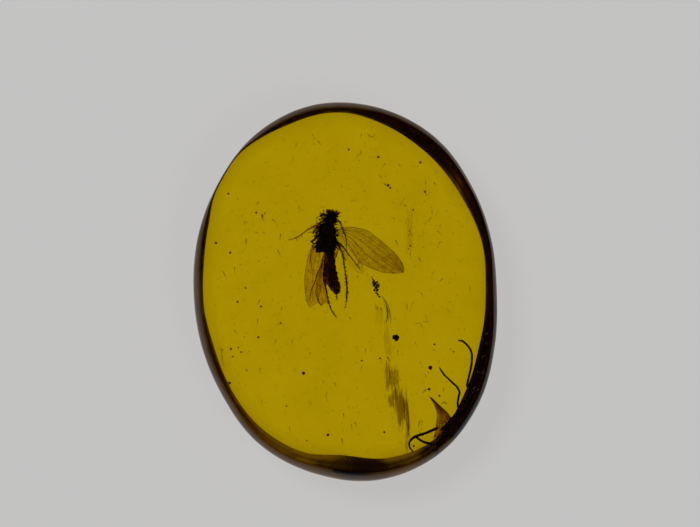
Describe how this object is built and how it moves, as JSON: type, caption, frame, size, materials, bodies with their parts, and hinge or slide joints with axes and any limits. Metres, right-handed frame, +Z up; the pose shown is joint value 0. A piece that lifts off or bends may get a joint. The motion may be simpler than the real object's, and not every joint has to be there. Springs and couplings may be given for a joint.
{
  "type": "insect in amber",
  "caption": "Polished oval slab of clear yellow amber, lying flat, with a small spread-winged caddisfly, part of a long-legged fly and plant debris sealed inside.",
  "frame": {"origin": "middle of the oval on the flat resting face", "axes": "+X across the slab, +Y along its length towards the insect's head, +Z up"},
  "size_m": [0.0202, 0.0252, 0.0042],
  "materials": {
    "amber": "clear fossil resin, ground flat and polished, darker at the rim",
    "insect": "dark brown hairy cuticle, wings thin brown membrane",
    "debris": "dull dark brown crumbs",
    "fibre": "thin see-through brown plant tissue"
  },
  "bodies": {
    "root": {"amber_lower": "amber", "amber_upper": "amber", "caddisfly": "insect", "long_legged_fly": "insect", "droppings": "debris", "bark_crumb": "debris", "fibre_shred": "fibre"}
  },
  "joints": []
}
